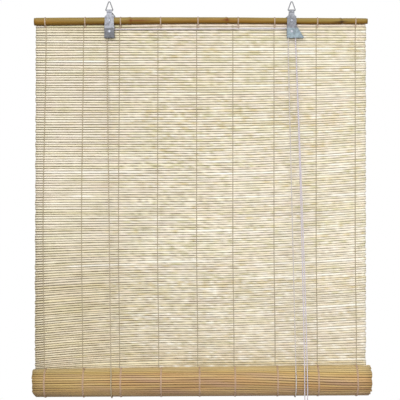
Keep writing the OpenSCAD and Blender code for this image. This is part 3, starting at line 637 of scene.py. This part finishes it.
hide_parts("slat_mat")
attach(mat, "root")
mat_keep = 1 - lift_range / (mat_top - mat_foot)
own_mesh(mat)


# Warp threads: a pair of cotton threads at each of nine places runs down the two faces of the mat
# and crosses between the splints. The weaving is by hand, so the places are a little uneven.
def plain(name, code, roughness, metallic=0.0, gloss=0.5):
    """A finish of one colour."""
    made, _, shader = material(name)
    shader.inputs["Base Color"].default_value = colour(code)
    shader.inputs["Roughness"].default_value = roughness
    shader.inputs["Metallic"].default_value = metallic
    shader.inputs["Specular IOR Level"].default_value = gloss
    return made


# Twisted cotton: a warm grey with no shine, darker than the same thread on the roll as painted shade; its
# twist is too fine to show beside its two strands.
thread_finish = plain("twisted cotton thread", "#A99D84", roughness=0.9, gloss=0.1)
thread_x = (-0.2805, -0.2125, -0.147, -0.0773, -0.007, 0.0588, 0.1335, 0.2101, 0.2811)
thread_radius, thread_swing = 0.00048, 0.00042
# Shares of a splint's height, and how far from the mat's middle the thread lies there.
weave = ((0.0, 0.0012), (0.4, 0.00132), (0.8, 0.0009))
for place, x in enumerate(thread_x):
    bm = bmesh.new()
    for face in (-1, 1):
        for strand in (-1, 1):
            path = [(x, mat_y, mat_top + 0.0011), (x, mat_y + face * 0.0008, mat_top + 0.0007)]
            for i in range(rows):
                drift = 0.002 * eased((i - 90) / 45) - 0.0055 * eased(i / 80) * max(0, -x / 0.28) ** 1.6
                for part, out in weave:
                    z = row_level(i + part) - 0.0004
                    off = x + drift + strand * thread_swing * math.cos(math.pi * (i + part))
                    out -= 0.0005 * eased((i - rows + 14) / 4) if face < 0 else 0
                    path.append((off, mat_y + face * out, z + hung(x, z)))
            tube(bm, path[:-8] if face < 0 else path[:-2], thread_radius, 5)
    thread = placed(bm, f"warp_thread_{place + 1}", thread_finish)
    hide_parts(f"warp_thread_{place + 1}")
    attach(thread, "root")
    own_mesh(thread)

# Cane ties: near each thread a paler string is wound twice round the cane and the first
# splint and knotted in front, below the cane.
tie_x = (-0.2816, -0.2093, -0.1449, -0.0723, -0.0045, 0.0683, 0.1345, 0.2122, 0.2812)
string_radius, turn_off, splint_reach, tie_knot_radius = 0.0005, 0.00055, 0.0019, 0.0013
cane_points, splint_points = 28, 10
# Cotton string: as matt as the threads, paler and pinker, so that each tie is a light spot.
tie_finish = plain("cotton string", "#BEA894", roughness=0.9, gloss=0.1)
for place, x in enumerate(tie_x):
    round_cane, round_splint = (cane_y, cane_z + bow(x)), (mat_y, mat_top - splint_reach)
    big, small = cane_radius(x) + string_radius + 0.00005, splint_reach + string_radius
    dy, dz = round_splint[0] - round_cane[0], round_splint[1] - round_cane[1]
    lean, spread = math.atan2(dz, dy), math.acos((big - small) / math.hypot(dy, dz))
    bm = bmesh.new()
    for turn in (-1, 1):
        loop = []
        for (y, z), reach, first, sweep, steps in (
                (round_cane, big, lean + spread, 2 * math.pi - 2 * spread, cane_points),
                (round_splint, small, lean - spread, 2 * spread, splint_points)):
            for i in range(steps + 1):
                a = first + sweep * i / steps
                loop.append((x + turn * turn_off, y + reach * math.cos(a), z + reach * math.sin(a)))
        tube(bm, loop, string_radius, 7, closed=True)
    made = bmesh.ops.create_icosphere(bm, subdivisions=3, radius=tie_knot_radius)
    for vert in made["verts"]:
        vert.co = Vector((x + 0.0004 + vert.co.x * 1.3, mat_y - 0.0033 + vert.co.y,
                          mat_top - 0.0016 + vert.co.z))
    tie = placed(bm, f"cane_tie_{place + 1}", tie_finish)
    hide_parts(f"cane_tie_{place + 1}")
    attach(tie, "root")


# Roll: about the lower metre of the same mat, rolled up on itself from the front. The outer face of
# these splints is their skin side, tan and smooth, with darker and paler streaks.
def skewed(a, x):
    """The angle of a splint edge where the splints run slightly askew towards the roll's right end."""
    return a - 0.3 * eased((x - 0.02) / 0.28) * eased(a / 1.6)


def start_turn(x):
    """How far round the roll starts: the mat levels out as it shortens, and needs room at the right."""
    return max(0, x) * roll_tilt * (1 - mat_keep) / (outer_mid * (1 + roll_taper * x))


def turn_at(k):
    """The angle round the roll at which a splint edge lies, counted from the mat's foot."""
    return (outer_mid - math.sqrt(outer_mid ** 2 - growth * k * pitch / math.pi)) * 2 * math.pi / growth


# Bamboo skin, split and left bare: tan, with a slight sheen along each splint. The fibre is drawn
# 1.25 mm wide, coarser than it is, so that it shows.
roll_finish = grained("split bamboo skin", fibre_long=0.08, fibre_wide=0.00125, detail=4.0,
                      darkest=0.88, lightest=1.1, roughness=0.55, gloss=0.3)
tan, honey, light_tan, red = colour("#B69864"), colour("#C6A46A"), colour("#E0C692"), colour("#9C6C48")
ochre, blush, reed, dark_line = colour("#BF9160"), colour("#B08C7C"), colour("#BEAA60"), colour("#4C3416")

outer_mid, core_mid, growth, pitch = 0.0263, 0.007, 0.0022, 0.0044
roll_count = int(math.pi * (outer_mid ** 2 - core_mid ** 2) / growth / pitch)
outer_splints, outer_stations, inner_stations = 42, 41, 3
# A splint's section: shares of its width, and how far each point lies outside its middle.
section = ((0, 0.0003), (0.2, 0.0007), (0.78, 0.0007), (1, 0.0003), (0.9, -0.0007), (0.1, -0.0007))
last_turn = turn_at(roll_count)
rng = random.Random(23)
bm, tones = bmesh.new(), []
for i in range(roll_count):
    outer = i < outer_splints
    stations = outer_stations if outer else inner_stations
    xs = [-0.3 + 0.6 * k / (stations - 1) for k in range(stations)]
    start, end = turn_at(i + 0.02), turn_at(i + 0.98)
    sunk = math.sin((start + end) / 2)
    xs[0] += rng.uniform(-0.0004, 0.0012)
    xs[0] += 0.0045 * eased((sunk - 0.55) / 0.45) + 0.0014 * eased((sunk + 0.7) / 0.6)
    xs[-1] += rng.uniform(0.0018, 0.0048)
    xs[-1] -= 0.0045 * eased((sunk - 0.4) / 0.6) + 0.0005 * eased((sunk + 0.3) / 0.5)
    bend, fade, hue = wander(rng, stations, 6), wander(rng, stations, 5), wander(rng, stations, 8)
    base = blended(tan, honey, rng.random())
    base = blended(base, light_tan, max(0, rng.random() - 0.4))
    base = blended(base, red, max(0, rng.random() - 0.6))
    base = blended(base, dark_line, 0.5 * max(0, rng.random() - 0.65))
    rings = []
    for k, x in enumerate(xs):
        shift = 0.05 * bend[k] * (end - start) if outer else 0
        thick = 1 + roll_taper * x
        ring = []
        for share, out in section:
            a = skewed(start + (end - start) * share, x) + shift
            a = max(a, start_turn(x) + 0.01 * share)
            inner = min(1, (last_turn - a) / (2 * math.pi))
            r = (outer_mid - growth * (a / (2 * math.pi) + inner - inner * inner) + out) * thick
            if not outer and k == 1:
                r = max(r - 0.0011, 0.0061)
            ring.append(bm.verts.new((x, roll_middle(x) + r * math.cos(a),
                                      roll_z - r * math.sin(a) + roll_tilt * x)))
        rings.append(ring)
        face = blended(base, honey if hue[k] > 0 else red, 0.45 * abs(hue[k]))
        mottle = math.sin(38 * x + 0.9 * i) * math.sin(17 * x - 0.35 * i + 1)
        face = blended(face, ochre if mottle > 0 else blush, 0.46 * abs(mottle))
        # Painted light and shade by height round the roll: pinker and darker towards the bottom, greener and
        # then paler towards the top; the left part is also greener, and the left end darker.
        face = blended(face, blush, 0.2 * max(0, sunk))
        face = blended(face, reed, 0.5 * eased((-0.6 - sunk) / 0.3) + 0.25 * eased((-0.1 - x) / 0.15))
        face = blended(face, light_tan, 0.6 * eased((-0.74 - sunk) / 0.2))
        face = blended(face, dark_line, 0.22 * eased((-0.2 - x) / 0.1) + 0.42 * max(0, sunk) ** 2 + 0.04)
        edge = blended(face, dark_line, min(1, max(0.25, 0.95 + 0.75 * fade[k])))
        tones += [edge, face, face, edge, face, face]
    joined(bm, rings)
    bm.faces.new(rings[0])
    bm.faces.new(rings[-1])
roll = placed(bm, "roll", roll_finish)
paint(roll, tones)
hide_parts("roll")
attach(roll, "roll")

# Bottom rod: a plain round rod woven into the mat's lower end; only its ends show, in the roll.
# It lies along the roll's middle.
rod_x, rod_radii = (-0.2985, -0.298, 0.298, 0.2985), [0.0055, 0.006, 0.006, 0.0055]
# Planed bamboo: half matt and a darker tan than the splints, with no grain that would show.
rod_finish = plain("planed bamboo", "#B08C4C", roughness=0.6)
bm = bmesh.new()
tube(bm, [(x, roll_middle(x), roll_z + roll_tilt * x) for x in rod_x], rod_radii, 40, across=(0, 0, 1))
rod = placed(bm, "bottom_rod", rod_finish)
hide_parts("bottom_rod")
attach(rod, "roll")

# Roll threads: the warp threads where they run round the outer turn of the roll, two strands side by
# side at each place.
rolled_x = (-0.2775, -0.2088, -0.1419, -0.0702, -0.0016, 0.0617, 0.1373, 0.2096, 0.2786)
strand_off, strand_radius, strand_lift = 0.0008, 0.00058, 0.0006
from_degrees, sweep_degrees, round_steps = 4, 324, 120
# The same twisted cotton, painted as in full light: matt, paler and pinker than the tan splints below it.
roll_thread_finish = plain("twisted cotton thread in painted light", "#C2A690", roughness=0.9, gloss=0.1)
bm = bmesh.new()
for place, x in enumerate(rolled_x):
    for strand in (-1, 1):
        path = []
        for i in range(round_steps + 1):
            a = math.radians(from_degrees + sweep_degrees * i / round_steps) + start_turn(x)
            r = (roll_radius - growth * a / (2 * math.pi)) * (1 + roll_taper * x) + strand_lift
            off = x + strand * strand_off + 0.00015 * math.sin(9 * a + place)
            path.append((off, roll_middle(x) + r * math.cos(a), roll_z - r * math.sin(a) + roll_tilt * off))
        tube(bm, path, strand_radius, 6)
roll_threads = placed(bm, "roll_threads", roll_thread_finish)
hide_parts("roll_threads")
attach(roll_threads, "roll")

# Brackets, rings, screws, rivets, pulleys and roller: zinc-plated steel, pressed and rolled, with a soft
# bluish sheen. The wheels and the roller sit in shade inside the brackets, and that shade is painted into
# their dark colour.
spangle_size, fold_foot, fold_top = 0.0038, -0.0475, -0.0455
# Zinc plate: half matt and grey. Its spangle is drawn 3.8 mm wide, coarser than it is, so that it shows.
# The folds that face the light are painted paler and the folds away from it painted darker, as painted light
# and shade, and the lock's foot is bluer.
zinc, tree, shader = material("zinc plated sheet")
where = add(tree, "TexCoord")
spangle = add(tree, "TexNoise", Vector=where.outputs["Object"], Scale=1 / spangle_size, Detail=4.0)
ramp = add(tree, "ValToRGB", Fac=spangle.outputs[0])
ramp.color_ramp.elements[0].position, ramp.color_ramp.elements[1].position = 0.32, 0.68
ramp.color_ramp.elements[0].color = colour("#4C4D53")
ramp.color_ramp.elements[1].color = colour("#717379")
spread = add(tree, "SeparateXYZ", Vector=where.outputs["Object"])
right = add(tree, "Math", {"operation": "GREATER_THAN"}, n0=spread.outputs["X"], n1=0.0)
# Painted light and shade by fold: the left bracket's foot darker, its plate and the lock's foot paler.
foot = add(tree, "MapRange", n0=right.outputs[0], n1=0.0, n2=1.0, n3=0.56, n4=1.5)
plate = add(tree, "MapRange", n0=right.outputs[0], n1=0.0, n2=1.0, n3=1.5, n4=1.0)
lower = add(tree, "MapRange", n0=spread.outputs["Z"], n1=fold_foot, n2=fold_top, n3=foot.outputs[0],
            n4=plate.outputs[0])
# Painted highlight: the upper part, with the eye, paler.
upper = add(tree, "MapRange", n0=spread.outputs["Z"], n1=-0.0275, n2=-0.0225, n3=1.0, n4=1.35)
# Painted shade: the strap behind the cane darker.
behind = add(tree, "MapRange", n0=spread.outputs["Y"], n1=0.007, n2=0.01, n3=1.0, n4=0.45)
shared = add(tree, "Math", {"operation": "MULTIPLY"}, n0=lower.outputs[0], n1=upper.outputs[0])
shared = add(tree, "Math", {"operation": "MULTIPLY"}, n0=shared.outputs[0], n1=behind.outputs[0])
# Painted shade: a dark line in the crease under the eye.
under_eye = add(tree, "Math", {"operation": "COMPARE"}, n0=spread.outputs["Z"], n1=-0.0182, n2=0.0007)
crease_shade = add(tree, "MapRange", n0=under_eye.outputs[0], n1=0.0, n2=1.0, n3=1.0, n4=0.5)
shared = add(tree, "Math", {"operation": "MULTIPLY"}, n0=shared.outputs[0], n1=crease_shade.outputs[0])
coloured = add(tree, "VectorMath", {"operation": "SCALE"}, n0=ramp.outputs["Color"], Scale=shared.outputs[0])
below = add(tree, "MapRange", n0=spread.outputs["Z"], n1=fold_foot, n2=fold_top, n3=0.19, n4=0.0)
cooler = add(tree, "Math", {"operation": "MULTIPLY"}, n0=right.outputs[0], n1=below.outputs[0])
less_red = add(tree, "Math", {"operation": "SUBTRACT"}, n0=1.0, n1=cooler.outputs[0])
tint = add(tree, "CombineXYZ", X=less_red.outputs[0], Y=1.0, Z=1.0)
coloured = add(tree, "VectorMath", {"operation": "MULTIPLY"}, n0=coloured.outputs[0], n1=tint.outputs[0])
tree.links.new(coloured.outputs[0], shader.inputs["Base Color"])
shader.inputs["Metallic"].default_value = 0.35
shader.inputs["Roughness"].default_value = 0.5
# Domed steel heads, bright plated, show as pale spots; drawn wire is a dull mid grey; the wheels and the
# roller, turned steel, are painted dark as painted shade inside the brackets.
bright = plain("bright plated steel", "#B4B8C2", roughness=0.45, metallic=0.5)
wire = plain("drawn steel wire", "#77787C", roughness=0.5, metallic=0.4)
wheel = plain("turned steel in painted shade", "#5C5D63", roughness=0.5, metallic=0.5)
for names, finish in ((("left_bracket", "right_bracket"), zinc), (("left_ring", "right_ring"), wire),
                      (("left_pulley", "right_pulley", "jam_roller"), wheel),
                      (("left_bracket_screw", "right_bracket_screw"), bright),
                      (("left_axle_rivet", "right_axle_rivet"), bright)):
    for name in names:
        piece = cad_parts[name]
        piece.data.materials.clear()
        piece.data.materials.append(finish)

# Strap edge: beside the left bracket's neck the edge of its strap, which goes over the cane, lies in shade
# and is drawn as a dark slanting strip of plate: painted shade.
strip_y, strip_deep = 0.0022, 0.005
strip_corners = ((-0.1611, -0.0192), (-0.1596, -0.0183), (-0.1543, -0.0247), (-0.1551, -0.0257))
# Painted shade: dark and nearly matt, for the strap's edge in shade behind the neck.
strap_shade_finish = plain("dark plate in painted shade", "#4A4C4E", roughness=0.6, metallic=0.3)
bm = bmesh.new()
strip = [bm.verts.new((x, strip_y, z)) for x, z in strip_corners]
end = bmesh.ops.extrude_face_region(bm, geom=[bm.faces.new(strip)])
end_verts = [v for v in end["geom"] if isinstance(v, bmesh.types.BMVert)]
bmesh.ops.translate(bm, vec=(0, strip_deep, 0), verts=end_verts)
strap_shade = placed(bm, "left_strap_shade", strap_shade_finish, smooth=False)
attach(strap_shade, "root")


# Stage: a pale floor well below the hanging blind, soft white light from all round, broad lamps
# in front of it and behind it, and a white background.
def looked_at(tree):
    """1 for a ray from the camera or off a shiny or clear surface, which sees plain white; 0 for light."""
    path = add(tree, "LightPath")
    glossy = add(tree, "Math", {"operation": "MAXIMUM"}, n0=path.outputs["Is Camera Ray"],
                 n1=path.outputs["Is Glossy Ray"])
    either = add(tree, "Math", {"operation": "MAXIMUM"}, n0=glossy.outputs[0],
                 n1=path.outputs["Is Transmission Ray"])
    return either.outputs[0]


# Painted floor, matt: a mid grey for the light that it sends up, and plain white to the camera.
floor_finish, tree, shader = material("matt painted floor")
shader.inputs["Base Color"].default_value = colour("#A8A8A8")
shader.inputs["Roughness"].default_value = 0.9
white_light = add(tree, "Emission", Color=(1, 1, 1, 1), Strength=1.0)
seen = add(tree, "MixShader", n0=looked_at(tree), n1=shader.outputs[0], n2=white_light.outputs[0])
tree.links.new(seen.outputs[0], tree.nodes["Material Output"].inputs["Surface"])
floor_z = -1.5
bm = bmesh.new()
bmesh.ops.create_grid(bm, x_segments=1, y_segments=1, size=6)
bmesh.ops.translate(bm, vec=(0, 0, floor_z), verts=bm.verts)
floor = placed(bm, "floor", floor_finish)
aimed_at = Vector((0, 0, -0.35))
for name, at, size, power in (("key lamp", (-0.3, -3.3, 0.7), 2.4, 112),
                              ("fill lamp", (2.0, -2.6, -0.1), 1.8, 16),
                              ("back lamp", (0.6, 3.2, -0.1), 2.4, 70)):
    lamp = bpy.data.objects.new(name, bpy.data.lights.new(name, "AREA"))
    scene.collection.objects.link(lamp)
    lamp.data.size, lamp.data.energy = size, power
    lamp.location = at
    lamp.rotation_euler = (aimed_at - lamp.location).to_track_quat("-Z", "Y").to_euler()
world = bpy.data.worlds.new("studio")
scene.world = world
world.use_nodes = True
level = add(world.node_tree, "MapRange", n0=looked_at(world.node_tree), n1=0.0, n2=1.0, n3=0.39, n4=1.0)
sky = world.node_tree.nodes["Background"]
sky.inputs["Color"].default_value = (1, 1, 1, 1)
world.node_tree.links.new(level.outputs[0], sky.inputs["Strength"])
scene.view_settings.view_transform = "Standard"
